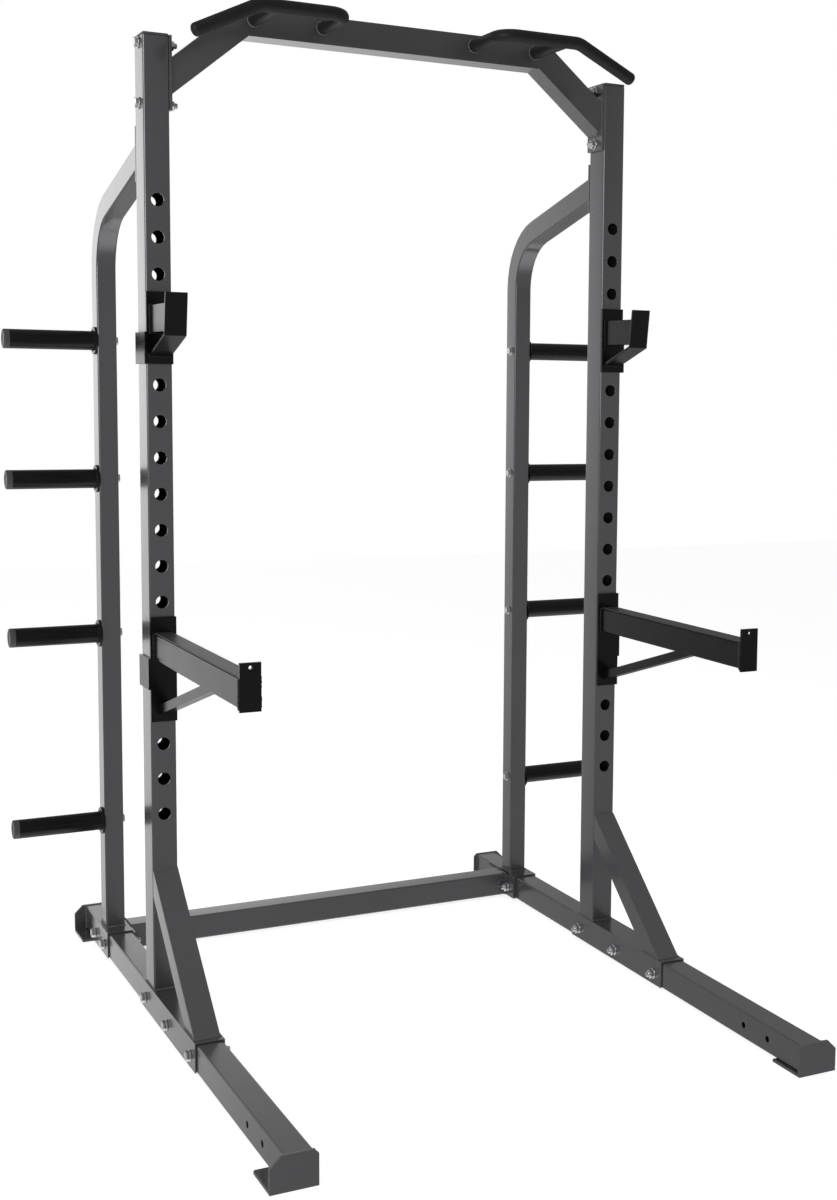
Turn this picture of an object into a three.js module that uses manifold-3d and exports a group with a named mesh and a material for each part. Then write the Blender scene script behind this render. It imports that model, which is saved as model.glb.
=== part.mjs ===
// Power rack: a half rack with a pull-up bar, plate pegs, bar hooks and spotter arms.
// Units are millimetres. +Z is up, -Y is the open front, and +X is on the right seen from the front.
// Distances along Y count from the front uprights' centre line.
import * as THREE from 'three';
import { mergeVertices } from 'three/addons/utils/BufferGeometryUtils.js';
import Module from 'manifold-3d';

const wasm = await Module();
wasm.setup();

// ---------------------------------------------------------------- driving sizes

const FIT = 0.3; // gap left between pieces that rest on each other
const LAP = 1; // how far a joined shape runs into its neighbour, and a cutter past the face it cuts
const UPRIGHT_SPACING = 1065; // centre to centre of the two sides

const foot = {
  plate: 6, // thickness of the end plate and of the floor tab
  innerOverhang: 7, // end plate beyond the rail's inner side
  outerOverhang: 27, // end plate beyond the rail's outer side
  topOverhang: 2, // end plate above the rail's top
  tabLength: 92,
  anchorHole: 9,
  anchorInset: 8.5, // anchor hole's centre from the tab's outer edge
  anchorSetback: 45, // anchor hole's centre from the end plate's outer face
  topOuterChamfer: 19,
  smallChamfer: 8,
  tabChamfer: 3,
};

const rail = {
  width: 54,
  height: 57,
  wall: 3,
  frontReach: 887.5, // front end ahead of the uprights' centre
  rearReach: 626.7, // rear end behind the uprights' centre
  sideHole: 14,
  sideHoleSetbacks: [116, 202], // from the front end
};

const upright = {
  width: 53,
  depth: 69,
  wall: 3,
  corner: 4,
  top: 2047.5,
  hole: 27,
  holePitch: 75,
  holeCount: 18,
  lowestHole: 447.1, // height of the lowest hole above the floor
};

const frontSaddle = { wall: 3, front: 360, rear: 62, boltMargin: 34 };
const rearSaddle = { wall: 3, length: 162, centre: 462.5, boltMargin: 34 };
const frontBrace = {
  depth: 46,
  wall: 3,
  angle: 40.6,
  topHeight: 331,
  cutPast: 10, // how far its hollow is cut past both ends
};

const rearPost = {
  width: 44,
  depth: 53,
  wall: 3,
  corner: 4,
  centre: 454, // behind the uprights' centre
  bendBelowTop: 443.5, // where the bend begins, below the upright's top
  bendRadius: 143.5,
  bendAngle: 76,
  flange: 6,
  flangeHeight: 112,
};

const crossBeam = {
  depth: 58,
  height: 58,
  wall: 3,
  centre: 458, // behind the uprights' centre
  bottom: 6,
  flange: 5,
  flangeHeight: 54,
  flangeRise: 1, // end plates' lower edge above the rail's underside
};

const pullupBar = {
  height: 57,
  depth: 60,
  wall: 3,
  rise: 20.5, // underside of the straight stretch above the upright's top
  armRun: 161.7, // side arm's run across, from its end plate to the bend in the underside
  armAngle: 39.5, // how steeply the side arms drop
  plate: 6,
  plateHeight: 150,
  boltInset: 15, // bolt centre from the plate's top and bottom edges
  vent: 10,
};

const grip = {
  diameter: 28,
  reach: 145, // from the bar's front face to the grip's centre line
  outerInset: 12, // outer stem's centre short of the bar's bend
  stemSpacing: 150,
  cornerRadius: 38,
  wingPast: 24, // where the free end starts to drop, past the outer stem
  wingAngle: 26,
  wingLength: 142,
  wingRadius: 45,
  rise: 5, // grip's centre line above the stems
};

const peg = {
  diameter: 44,
  wall: 3,
  length: 204,
  flange: 63,
  flangeThickness: 4,
  endWall: 4,
  rim: 3, // chamfer around the outer end
  heights: [320, 767, 1129, 1446],
};

const bracket = {
  plate: 6.5, // thickness of the plate on the upright's front
  flange: 4.5, // thickness of the side flange
  sideClearance: 1, // flange to upright
  flangeBelowPin: 42, // flange's top edge below the pin's centre
  flangeHeight: 65.5,
  pin: 25,
  pinPastRear: 1, // how far the pin reaches past the upright's rear face
};

const hook = {
  holeIndex: 14, // counted from the lowest hole
  plateTopAbovePin: 40,
  plateHeight: 147.5,
  seatWidth: 40,
  seatHeight: 56,
  seatAbovePin: 12,
  reach: 119.5, // plate's front face to the front of the lip's fold
  lipLean: 12, // how far the lip's top stands ahead of its fold
  lipWidth: 45,
  lipThickness: 6,
  lipRise: 21, // lip's top above the seat
  lipDrop: 64.5, // lip's fold below the seat
  toeRise: 15, // where the folded leg meets the plate, above the plate's bottom
  wall: 4,
  drain: 8,
};

const arm = {
  holeIndex: 5,
  plateTopAbovePin: 44.5,
  plateHeight: 220.5,
  width: 40,
  height: 54,
  wall: 3,
  topAbovePin: 9,
  length: 588, // plate's front face to the end plate's back face
  endPlate: 6,
  endPlateRise: 29.5, // end plate's top above the tube's top
  endPlateDrop: 6, // end plate's bottom below the tube's underside
  endHole: 7,
  endHoleInset: 9,
  liner: 3.4,
  linerInset: 1.5,
  strutHeight: 20,
  strutWidth: 24,
  strutRise: 15, // strut's lower edge at the plate, above the plate's bottom
  strutReach: 325, // where the strut's upper edge meets the tube
  drain: 8,
};

const cap = { thickness: 4, plug: 22, wall: 3 };

const bolt = {
  shank: 12,
  clearance: 1, // how much wider its hole is
  head: 7.5,
  flats: 19,
  washer: 24,
  washerThickness: 2.5,
  nut: 9,
  thread: 7, // thread past the nut
};
const BOLT_HOLE = bolt.shank + bolt.clearance;
const BASE_BOLT_HEIGHT = 31; // base bolts' centre above the floor

// ---------------------------------------------------------------- derived places

const halfSpacing = UPRIGHT_SPACING / 2;
const railBottom = foot.plate + FIT;
const railTop = railBottom + rail.height;
const saddleTop = railTop + FIT + frontSaddle.wall;
const uprightFront = -upright.depth / 2;
const uprightBottom = saddleTop + FIT;
const uprightSide = upright.width / 2;
const frontBoltPlaces = spread(
  -frontSaddle.front + frontSaddle.boltMargin,
  frontSaddle.rear - frontSaddle.boltMargin,
  3,
);
const rearBoltPlaces = spread(
  rearSaddle.centre - rearSaddle.length / 2 + rearSaddle.boltMargin,
  rearSaddle.centre + rearSaddle.length / 2 - rearSaddle.boltMargin,
  2,
);
const bendStart = upright.top - rearPost.bendBelowTop;
const pullupBottom = upright.top + pullupBar.rise;
const pullupEnd = halfSpacing - uprightSide - FIT;
const pullupPlateIn = pullupEnd - pullupBar.plate;
const straightHalf = pullupPlateIn - pullupBar.armRun; // half of the pull-up bar's straight stretch
const pullupPlateTop = upright.top + cap.thickness;
const pullupBoltHeights = [
  pullupPlateTop - pullupBar.boltInset,
  pullupPlateTop - pullupBar.plateHeight + pullupBar.boltInset,
];
const postBend = THREE.MathUtils.degToRad(rearPost.bendAngle);
const postFlangeBack = upright.depth / 2 + FIT + rearPost.flange;
const postMeetsFlange = meetingHeight();
const postCut = rearPost.depth / Math.sin(postBend) / 2;
const postBoltOffset = (rearPost.flangeHeight / 2 + postCut) / 2;
const bracketBack = uprightFront - FIT;
const bracketFront = bracketBack - bracket.plate;
const bracketFlangeInside = uprightSide + bracket.sideClearance;

// ---------------------------------------------------------------- small helpers

/** Evenly spaced values from first to last. */
function spread(first, last, count) {
  return Array.from({ length: count }, (_, i) => first + ((last - first) * i) / (count - 1));
}

/** Height at which the rear post's centre line reaches its flange. */
function meetingHeight() {
  const endY = rearPost.centre - rearPost.bendRadius * (1 - Math.cos(postBend));
  const endZ = bendStart + rearPost.bendRadius * Math.sin(postBend);
  return endZ + (endY - postFlangeBack) / Math.tan(postBend);
}

/** A closed three.js geometry as a solid that can be joined and cut. */
function solid(geometry) {
  const bare = geometry.index ? geometry.toNonIndexed() : geometry.clone();
  bare.deleteAttribute('normal');
  bare.deleteAttribute('uv');
  const merged = mergeVertices(bare, 1e-4);
  return new wasm.Manifold(
    new wasm.Mesh({
      numProp: 3,
      vertProperties: new Float32Array(merged.attributes.position.array),
      triVerts: new Uint32Array(merged.index.array),
    }),
  );
}

/** A solid as a three.js geometry with flat-shaded normals. */
function geometryOf(body) {
  const mesh = body.getMesh();
  const geometry = new THREE.BufferGeometry();
  geometry.setAttribute('position', new THREE.BufferAttribute(new Float32Array(mesh.vertProperties), 3));
  geometry.setIndex(new THREE.BufferAttribute(new Uint32Array(mesh.triVerts), 1));
  geometry.computeVertexNormals();
  return geometry;
}

const join = (first, ...others) => others.reduce((sum, next) => sum.add(next), first);
const cut = (body, cutters) => cutters.reduce((rest, cutter) => rest.subtract(cutter), body);

/** A block from its lowest corner to its highest corner, whichever way round they are given. */
function block(a, b) {
  const low = a.map((value, i) => Math.min(value, b[i]));
  const size = a.map((value, i) => Math.abs(b[i] - value));
  const box = new THREE.BoxGeometry(...size);
  return solid(box.translate(...low.map((value, i) => value + size[i] / 2)));
}

/** A cylinder along an axis, from one place on that axis to another. */
function rod(axis, diameter, from, to, centre, segments = 12) {
  const shape = new THREE.CylinderGeometry(diameter / 2, diameter / 2, Math.abs(to - from), segments);
  if (axis === 'x') shape.rotateZ(Math.PI / 2);
  if (axis === 'z') shape.rotateX(Math.PI / 2);
  const place = { ...centre, [axis]: (from + to) / 2 };
  return solid(shape.translate(place.x, place.y, place.z));
}

/** A hexagonal prism along an axis. */
function hexagon(axis, flats, from, to, centre) {
  return rod(axis, flats / Math.cos(Math.PI / 6), from, to, centre, 6);
}

/** Adds a rounded rectangle to a shape or hole outline. */
function roundedRectangle(outline, width, height, radius) {
  const x = width / 2 - radius;
  const y = height / 2 - radius;
  outline.moveTo(-x, -y - radius);
  outline.lineTo(x, -y - radius);
  outline.absarc(x, -y, radius, -Math.PI / 2, 0);
  outline.lineTo(x + radius, y);
  outline.absarc(x, y, radius, 0, Math.PI / 2);
  outline.lineTo(-x, y + radius);
  outline.absarc(-x, y, radius, Math.PI / 2, Math.PI);
  outline.lineTo(-x - radius, -y);
  outline.absarc(-x, -y, radius, Math.PI, Math.PI * 1.5);
  return outline;
}

/** The section of a rectangular tube. */
function tubeSection(width, height, wall, radius) {
  const section = roundedRectangle(new THREE.Shape(), width, height, radius);
  const inside = Math.max(radius - wall, 1);
  section.holes.push(roundedRectangle(new THREE.Path(), width - 2 * wall, height - 2 * wall, inside));
  return section;
}

/** A rectangular tube along X, Y or Z; its section is width by height, as seen along the axis. */
function tube(axis, size, from, to, centre) {
  const section = tubeSection(size.width, size.height, size.wall, size.corner ?? 4);
  const length = Math.abs(to - from);
  const shape = new THREE.ExtrudeGeometry(section, { depth: length, bevelEnabled: false, curveSegments: 2 });
  shape.translate(0, 0, -length / 2);
  if (axis === 'y') shape.rotateX(Math.PI / 2);
  if (axis === 'x') shape.rotateX(Math.PI / 2).rotateZ(Math.PI / 2);
  const place = { ...centre, [axis]: (from + to) / 2 };
  return solid(shape.translate(place.x, place.y, place.z));
}

/** A prism along X with an outline in the YZ plane, centred on x. */
function prismAlongX(points, width, x = 0) {
  const outline = new THREE.Shape(points.map(([y, z]) => new THREE.Vector2(y, z)));
  const shape = new THREE.ExtrudeGeometry(outline, { depth: width, bevelEnabled: false });
  shape.translate(0, 0, -width / 2);
  shape.rotateY(Math.PI / 2).rotateX(Math.PI / 2);
  return solid(shape.translate(x, 0, 0));
}

/** A prism along Y with an outline in the XZ plane, centred on y. */
function prismAlongY(points, width, y = 0) {
  const outline = new THREE.Shape(points.map(([x, z]) => new THREE.Vector2(x, z)));
  const shape = new THREE.ExtrudeGeometry(outline, { depth: width, bevelEnabled: false });
  shape.translate(0, 0, -width / 2);
  return solid(shape.rotateX(Math.PI / 2).translate(0, y, 0));
}

/** A path through chosen stations, each with its own direction. */
class StationPath extends THREE.Curve {
  constructor(stations) {
    super();
    this.stations = stations;
  }

  station(u) {
    return this.stations[Math.round(u * (this.stations.length - 1))];
  }

  getPointAt(u) {
    return this.station(u).point.clone();
  }

  getTangentAt(u) {
    return this.station(u).direction.clone();
  }
}

/** Stations around a bend: from a point, turning from one direction to another. */
function bendStations(start, from, to, radius, steps) {
  const angle = from.angleTo(to);
  const axis = new THREE.Vector3().crossVectors(from, to).normalize();
  const centre = start.clone().addScaledVector(new THREE.Vector3().crossVectors(axis, from), radius);
  const arm = start.clone().sub(centre);
  return spread(0, angle, steps + 1).map((turn) => ({
    point: centre.clone().add(arm.clone().applyAxisAngle(axis, turn)),
    direction: from.clone().applyAxisAngle(axis, turn),
  }));
}

/** A section carried along stations. */
function sweep(section, stations, curveSegments) {
  const path = new StationPath(stations);
  const steps = stations.length - 1;
  const options = { steps, extrudePath: path, bevelEnabled: false, curveSegments };
  return solid(new THREE.ExtrudeGeometry(section, options));
}

const vector = (x, y, z) => new THREE.Vector3(x, y, z);

// ---------------------------------------------------------------- materials

const finishes = {
  frame: { color: 0x4a4d52, roughness: 0.3, metalness: 0.6 },
  black: { color: 0x17181a, roughness: 0.35, metalness: 0.3 },
  rubber: { color: 0x1c1c1d, roughness: 0.8, metalness: 0 },
  plastic: { color: 0x2c2d30, roughness: 0.5, metalness: 0 },
  zinc: { color: 0xb4b6b8, roughness: 0.35, metalness: 0.9 },
};

function mesh(name, finish, body) {
  const piece = new THREE.Mesh(geometryOf(body), new THREE.MeshStandardMaterial(finishes[finish]));
  piece.name = name;
  return piece;
}

// ---------------------------------------------------------------- one side of the rack
// Each side is a group at its upright's centre line. `side` is -1 on the left and +1 on the
// right, and a distance times `side` points outward.

/** Holes along X for the base bolts, at the given places along the rail. */
function baseBoltHoles(places) {
  const reach = rail.width;
  return places.map((y) => rod('x', BOLT_HOLE, -reach, reach, { y, z: BASE_BOLT_HEIGHT }));
}

function baseRail() {
  const centre = { x: 0, z: (railBottom + railTop) / 2 };
  const body = tube('y', rail, -rail.frontReach, rail.rearReach, centre);
  const sideHoles = rail.sideHoleSetbacks.map((setback) =>
    rod('x', rail.sideHole, -rail.width, rail.width, { y: setback - rail.frontReach, z: centre.z }),
  );
  return cut(body, [...baseBoltHoles([...frontBoltPlaces, ...rearBoltPlaces]), ...sideHoles]);
}

/** L-shaped foot; `end` is -1 at the rail's front end and +1 at its rear end. */
function railFoot(side, end) {
  const inner = -side * (rail.width / 2 + foot.innerOverhang);
  const outer = side * (rail.width / 2 + foot.outerOverhang);
  const top = railTop + foot.topOverhang;
  const { topOuterChamfer: big, smallChamfer: small, plate, tabLength } = foot;
  const railEnd = end < 0 ? -rail.frontReach : rail.rearReach;
  const plateOutline = [
    [inner, 0],
    [outer - side * small, 0],
    [outer, small],
    [outer, top - big],
    [outer - side * big, top],
    [inner + side * small, top],
    [inner, top - small],
  ];
  const ordered = side < 0 ? plateOutline.reverse() : plateOutline;
  const endPlate = prismAlongY(ordered, plate, railEnd + end * (FIT + plate / 2));
  const faceY = railEnd + end * (FIT + plate);
  const tab = block([inner, faceY, 0], [outer, faceY - end * tabLength, plate]);
  const anchor = rod('z', foot.anchorHole, -plate, 2 * plate, {
    x: outer - side * foot.anchorInset,
    y: faceY - end * foot.anchorSetback,
  });
  const corner = new THREE.CylinderGeometry(foot.tabChamfer, foot.tabChamfer, 3 * plate, 4).rotateX(Math.PI / 2);
  corner.translate(outer, faceY - end * tabLength, 0);
  return cut(join(endPlate, tab), [anchor, solid(corner)]);
}

/** A channel that straddles the rail. */
function saddle(front, rear, wall, boltPlaces) {
  const outside = rail.width / 2 + FIT + wall;
  const inside = rail.width / 2 + FIT;
  const top = railTop + FIT + wall;
  const shell = block([-outside, front, railBottom], [outside, rear, top]);
  const channel = block([-inside, front - LAP, railBottom - LAP], [inside, rear + LAP, railTop + FIT]);
  return cut(shell, [channel, ...baseBoltHoles(boltPlaces)]);
}

function uprightTube() {
  const size = { width: upright.width, height: upright.depth, wall: upright.wall, corner: upright.corner };
  const body = tube('z', size, uprightBottom, upright.top, { x: 0, y: 0 });
  const heights = Array.from({ length: upright.holeCount }, (_, i) => holeHeight(i));
  const pinHoles = heights.map((z) => rod('y', upright.hole, -upright.depth, upright.depth, { x: 0, z }, 16));
  const barHoles = pullupBoltHeights.map((z) => rod('x', BOLT_HOLE, -upright.width, upright.width, { y: 0, z }));
  const postHoles = postBoltHeights().map((z) => rod('y', BOLT_HOLE, 0, upright.depth, { x: 0, z }));
  return cut(body, [...pinHoles, ...barHoles, ...postHoles]);
}

function holeHeight(index) {
  return upright.lowestHole + index * upright.holePitch;
}

function postBoltHeights() {
  return [postMeetsFlange + postBoltOffset, postMeetsFlange - postBoltOffset];
}

function uprightCap() {
  const { width, depth, wall } = upright;
  const lid = new THREE.ExtrudeGeometry(roundedRectangle(new THREE.Shape(), width, depth, upright.corner), {
    depth: cap.thickness / 2,
    bevelThickness: cap.thickness / 2,
    bevelSize: cap.thickness / 2,
    bevelOffset: -cap.thickness / 2,
    bevelSegments: 2,
    curveSegments: 3,
  });
  const base = upright.top + FIT;
  lid.translate(0, 0, base + cap.thickness / 2);
  const x = width / 2 - wall - FIT;
  const y = depth / 2 - wall - FIT;
  const plug = block([-x, -y, upright.top - cap.plug], [x, y, base + cap.thickness / 2]);
  const hollow = block(
    [-x + cap.wall, -y + cap.wall, upright.top - 2 * cap.plug],
    [x - cap.wall, y - cap.wall, upright.top],
  );
  const bolts = rod('x', BOLT_HOLE, -width, width, { y: 0, z: pullupBoltHeights[0] });
  return cut(join(solid(lid), plug), [hollow, bolts]);
}

/** Diagonal tube from the upright's front face down to the front saddle. */
function bracePiece() {
  const slope = THREE.MathUtils.degToRad(frontBrace.angle);
  const face = uprightFront - FIT;
  // The tube seen from the side, drawn in by `inset` and run on past both cut ends by `past`.
  const outline = (inset, past) => {
    const edge = (depth) => {
      const height = frontBrace.topHeight - depth / Math.cos(slope);
      const floor = uprightBottom - past;
      return [
        [face + past, height + past * Math.tan(slope)],
        [face - (height - floor) / Math.tan(slope), floor],
      ];
    };
    return [...edge(inset), ...edge(frontBrace.depth - inset).reverse()];
  };
  const body = prismAlongX(outline(0, 0), upright.width);
  const hollow = outline(frontBrace.wall, frontBrace.cutPast);
  return cut(body, [prismAlongX(hollow, upright.width - 2 * frontBrace.wall)]);
}

/** Rear post: upright, bent forward at the top and ending in a flange on the upright's back. */
function rearPostPiece() {
  const up = vector(0, 0, 1);
  const forward = vector(0, -Math.sin(postBend), Math.cos(postBend));
  const start = vector(0, rearPost.centre, rearSaddleTop() + FIT);
  const bend = bendStations(vector(0, rearPost.centre, bendStart), up, forward, rearPost.bendRadius, 8);
  const end = vector(0, postFlangeBack - rearPost.flange / 2, 0);
  end.z = postMeetsFlange + rearPost.flange / 2 / Math.tan(postBend);
  const stations = [{ point: start, direction: up }, ...bend, { point: end, direction: forward }];
  const section = tubeSection(rearPost.depth, rearPost.width, rearPost.wall, rearPost.corner);
  const pipe = sweep(section, stations, 2);
  const back = postFlangeBack;
  const front = back - rearPost.flange;
  const trim = block([-rearPost.width, front - rearPost.depth, 0], [rearPost.width, front + LAP, upright.top]);
  const half = rearPost.flangeHeight / 2;
  const plate = block([-uprightSide, front, postMeetsFlange - half], [uprightSide, back, postMeetsFlange + half]);
  const holes = postBoltHeights().map((z) => rod('y', BOLT_HOLE, 0, 2 * back, { x: 0, z }));
  return cut(join(cut(pipe, [trim]), plate), holes);
}

function rearSaddleTop() {
  return railTop + FIT + rearSaddle.wall;
}

/** Plate peg: a capped tube on a round flange, on the rear post's outer side. */
function pegPiece() {
  const { diameter, wall, length, flange, flangeThickness, endWall, rim } = peg;
  const profile = [
    [0, length],
    [diameter / 2 - rim, length],
    [diameter / 2, length - rim],
    [diameter / 2, flangeThickness],
    [flange / 2, flangeThickness],
    [flange / 2, 0],
    [diameter / 2 - wall, 0],
    [diameter / 2 - wall, length - endWall],
    [0, length - endWall],
  ];
  const points = profile.reverse().map(([radius, along]) => new THREE.Vector2(radius, along));
  return solid(new THREE.LatheGeometry(points, 20));
}

// ---------------------------------------------------------------- hooks and spotter arms

/** Front plate and side flange that a hook or an arm hangs from. */
function bracketBody(side, pinHeight, plateTop, plateHeight) {
  const inner = -side * (uprightSide + bracket.sideClearance);
  const outer = side * bracketFlangeInside;
  const rear = upright.depth / 2 + bracket.sideClearance;
  const flangeTop = pinHeight - bracket.flangeBelowPin;
  const outside = outer + side * bracket.flange;
  const plate = block([inner, bracketFront, plateTop - plateHeight], [outer, bracketBack, plateTop]);
  const flange = block([outer, bracketFront, flangeTop - bracket.flangeHeight], [outside, rear, flangeTop]);
  return join(plate, flange);
}

function bracketPin(pinHeight) {
  const tip = upright.depth / 2 + bracket.pinPastRear;
  return rod('y', bracket.pin, bracketBack + FIT, tip, { x: 0, z: pinHeight }, 20);
}

function hookPiece(side) {
  const pinHeight = holeHeight(hook.holeIndex);
  const plateTop = pinHeight + hook.plateTopAbovePin;
  const seat = pinHeight + hook.seatAbovePin;
  const seatBottom = seat - hook.seatHeight;
  const lipTop = seat + hook.lipRise;
  const fold = seat - hook.lipDrop;
  const lean = hook.lipLean / (lipTop - fold);
  const lipThrough = hook.lipThickness * Math.sqrt(1 + lean * lean); // the lip's thickness along Y
  const lipFront = (z) => bracketFront - hook.reach - (z - fold) * lean;
  const lipBack = (z) => lipFront(z) + lipThrough;
  // The seat's box, drawn in by `inset` and run on by `past` into the plate and the lip.
  const seatBox = (inset, past) =>
    prismAlongX(
      [
        [bracketFront + past, seatBottom + inset],
        [bracketFront + past, seat - inset],
        [lipBack(seat - inset) - past, seat - inset],
        [lipBack(seatBottom + inset) - past, seatBottom + inset],
      ],
      hook.seatWidth - 2 * inset,
    );
  const drain = rod('z', hook.drain, seatBottom - LAP, seat - hook.seatHeight / 2, {
    x: 0,
    y: (lipBack(seat) + bracketFront) / 2,
  });
  const toe = plateTop - hook.plateHeight + hook.toeRise;
  const legSlope = (fold - toe) / hook.reach;
  const legRise = hook.lipThickness * Math.sqrt(1 + legSlope * legSlope);
  const innerFold = fold + (legRise - legSlope * lipThrough) / (1 - legSlope * lean);
  const lip = prismAlongX(
    [
      [lipFront(lipTop), lipTop],
      [lipFront(fold), fold],
      [bracketFront + LAP, toe - legSlope * LAP],
      [bracketFront + LAP, toe - legSlope * LAP + legRise],
      [lipBack(innerFold), innerFold],
      [lipBack(lipTop), lipTop],
    ],
    hook.lipWidth,
  );
  const body = bracketBody(side, pinHeight, plateTop, hook.plateHeight);
  return join(body, cut(seatBox(0, LAP), [seatBox(hook.wall, -hook.wall), drain]), lip);
}

function armHeights() {
  const pinHeight = holeHeight(arm.holeIndex);
  const top = pinHeight + arm.topAbovePin;
  return { pinHeight, top, underside: top - arm.height, plateTop: pinHeight + arm.plateTopAbovePin };
}

function armPiece(side) {
  const { pinHeight, top, underside, plateTop } = armHeights();
  const endBack = bracketFront - arm.length;
  const beam = tube('y', arm, endBack - LAP, bracketFront + LAP, { x: 0, z: (top + underside) / 2 });
  const drain = rod('z', arm.drain, underside - LAP, underside + arm.height / 2, { x: 0, y: endBack / 2 });
  const half = arm.width / 2;
  const endTop = top + arm.endPlateRise;
  const endPlate = block([-half, endBack - arm.endPlate, underside - arm.endPlateDrop], [half, endBack, endTop]);
  const endHole = rod('y', arm.endHole, endBack - 2 * arm.endPlate, endBack + arm.endPlate, {
    x: 0,
    z: endTop - arm.endHoleInset,
  });
  const low = plateTop - arm.plateHeight + arm.strutRise;
  const rise = underside - low - arm.strutHeight;
  const slope = rise / arm.strutReach;
  const strut = prismAlongX(
    [
      [bracketFront + LAP, low - slope * LAP],
      [bracketFront + LAP, low + arm.strutHeight - slope * LAP],
      [bracketFront - arm.strutReach - LAP, underside + slope * LAP],
      [bracketFront - arm.strutReach - arm.strutHeight / slope - LAP, underside + slope * LAP],
    ],
    arm.strutWidth,
  );
  const body = bracketBody(side, pinHeight, plateTop, arm.plateHeight);
  return join(body, cut(beam, [drain]), cut(endPlate, [endHole]), strut);
}

/** Wear strip along the top of a spotter arm. */
function armLiner() {
  const { top } = armHeights();
  const half = arm.width / 2 - arm.linerInset;
  const base = top + FIT;
  return block([-half, bracketFront - arm.length + FIT, base], [half, bracketFront - FIT, base + arm.liner]);
}

// ---------------------------------------------------------------- fasteners

/** Through bolt with washers and nut; `head` and `nut` are the clamped faces on its axis. */
function throughBolt(axis, head, nut, centre) {
  const way = Math.sign(nut - head);
  const headFace = head - way * FIT;
  const nutFace = nut + way * FIT;
  const headWasher = headFace - way * bolt.washerThickness;
  const nutWasher = nutFace + way * bolt.washerThickness;
  const tip = nutWasher + way * (bolt.nut + bolt.thread);
  return join(
    rod(axis, bolt.shank, headWasher, tip, centre, 8),
    rod(axis, bolt.washer, headFace, headWasher, centre),
    hexagon(axis, bolt.flats, headWasher, headWasher - way * bolt.head, centre),
    rod(axis, bolt.washer, nutFace, nutWasher, centre),
    hexagon(axis, bolt.flats, nutWasher, nutWasher + way * bolt.nut, centre),
  );
}

function baseBolt(side, y, innerPlate) {
  const outside = side * (rail.width / 2 + FIT + frontSaddle.wall);
  const inside = -outside - side * innerPlate;
  return throughBolt('x', outside, inside, { y, z: BASE_BOLT_HEIGHT });
}

// ---------------------------------------------------------------- cross members

function crossBeamPiece() {
  const end = halfSpacing - rail.width / 2 - 2 * FIT - rearSaddle.wall;
  const plateIn = end - crossBeam.flange;
  const centre = { y: crossBeam.centre, z: crossBeam.bottom + crossBeam.height / 2 };
  const section = { width: crossBeam.height, height: crossBeam.depth, wall: crossBeam.wall };
  const beam = tube('x', section, -plateIn - LAP, plateIn + LAP, centre);
  const rear = rearSaddle.centre + rearSaddle.length / 2;
  const front = rearSaddle.centre - rearSaddle.length / 2;
  const low = railBottom + crossBeam.flangeRise;
  const plates = [-1, 1].map((side) =>
    block([side * plateIn, front, low], [side * end, rear, low + crossBeam.flangeHeight]),
  );
  const holes = rearBoltPlaces.map((y) => rod('x', BOLT_HOLE, -2 * end, 2 * end, { y, z: BASE_BOLT_HEIGHT }));
  const vent = rod('x', pullupBar.vent, -2 * end, 2 * end, centre);
  return cut(join(beam, ...plates), [...holes, vent]);
}

/** Outline of the pull-up bar in the XZ plane, drawn in by `inset` on every long side. */
function pullupOutline(inset, end) {
  const angle = THREE.MathUtils.degToRad(pullupBar.armAngle);
  const mitre = Math.tan(angle / 2);
  const low = pullupBottom + inset;
  const high = pullupBottom + pullupBar.height - inset;
  const lowCorner = straightHalf + inset * mitre;
  const highCorner = straightHalf + (pullupBar.height - inset) * mitre;
  const fall = (corner) => (end - corner) * Math.tan(angle);
  return [
    [-end, low - fall(lowCorner)],
    [-lowCorner, low],
    [lowCorner, low],
    [end, low - fall(lowCorner)],
    [end, high - fall(highCorner)],
    [highCorner, high],
    [-highCorner, high],
    [-end, high - fall(highCorner)],
  ];
}

function pullupBarPiece() {
  const bar = prismAlongY(pullupOutline(0, pullupPlateIn + LAP), pullupBar.depth);
  const insideDepth = pullupBar.depth - 2 * pullupBar.wall;
  const hollow = prismAlongY(pullupOutline(pullupBar.wall, pullupPlateIn), insideDepth);
  const bottom = pullupPlateTop - pullupBar.plateHeight;
  const middle = (bottom + pullupPlateTop) / 2;
  const reach = upright.depth / 2;
  const plates = [-1, 1].map((side) =>
    block([side * pullupPlateIn, -reach, bottom], [side * pullupEnd, reach, pullupPlateTop]),
  );
  const holes = [-1, 1].flatMap((side) => {
    const from = side * (pullupPlateIn - LAP);
    const to = side * (pullupEnd + LAP);
    const vent = rod('x', pullupBar.vent, from, to, { y: 0, z: middle });
    return [vent, ...pullupBoltHeights.map((z) => rod('x', BOLT_HOLE, from, to, { y: 0, z }))];
  });
  return cut(join(cut(bar, [hollow]), ...plates), holes);
}

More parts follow.
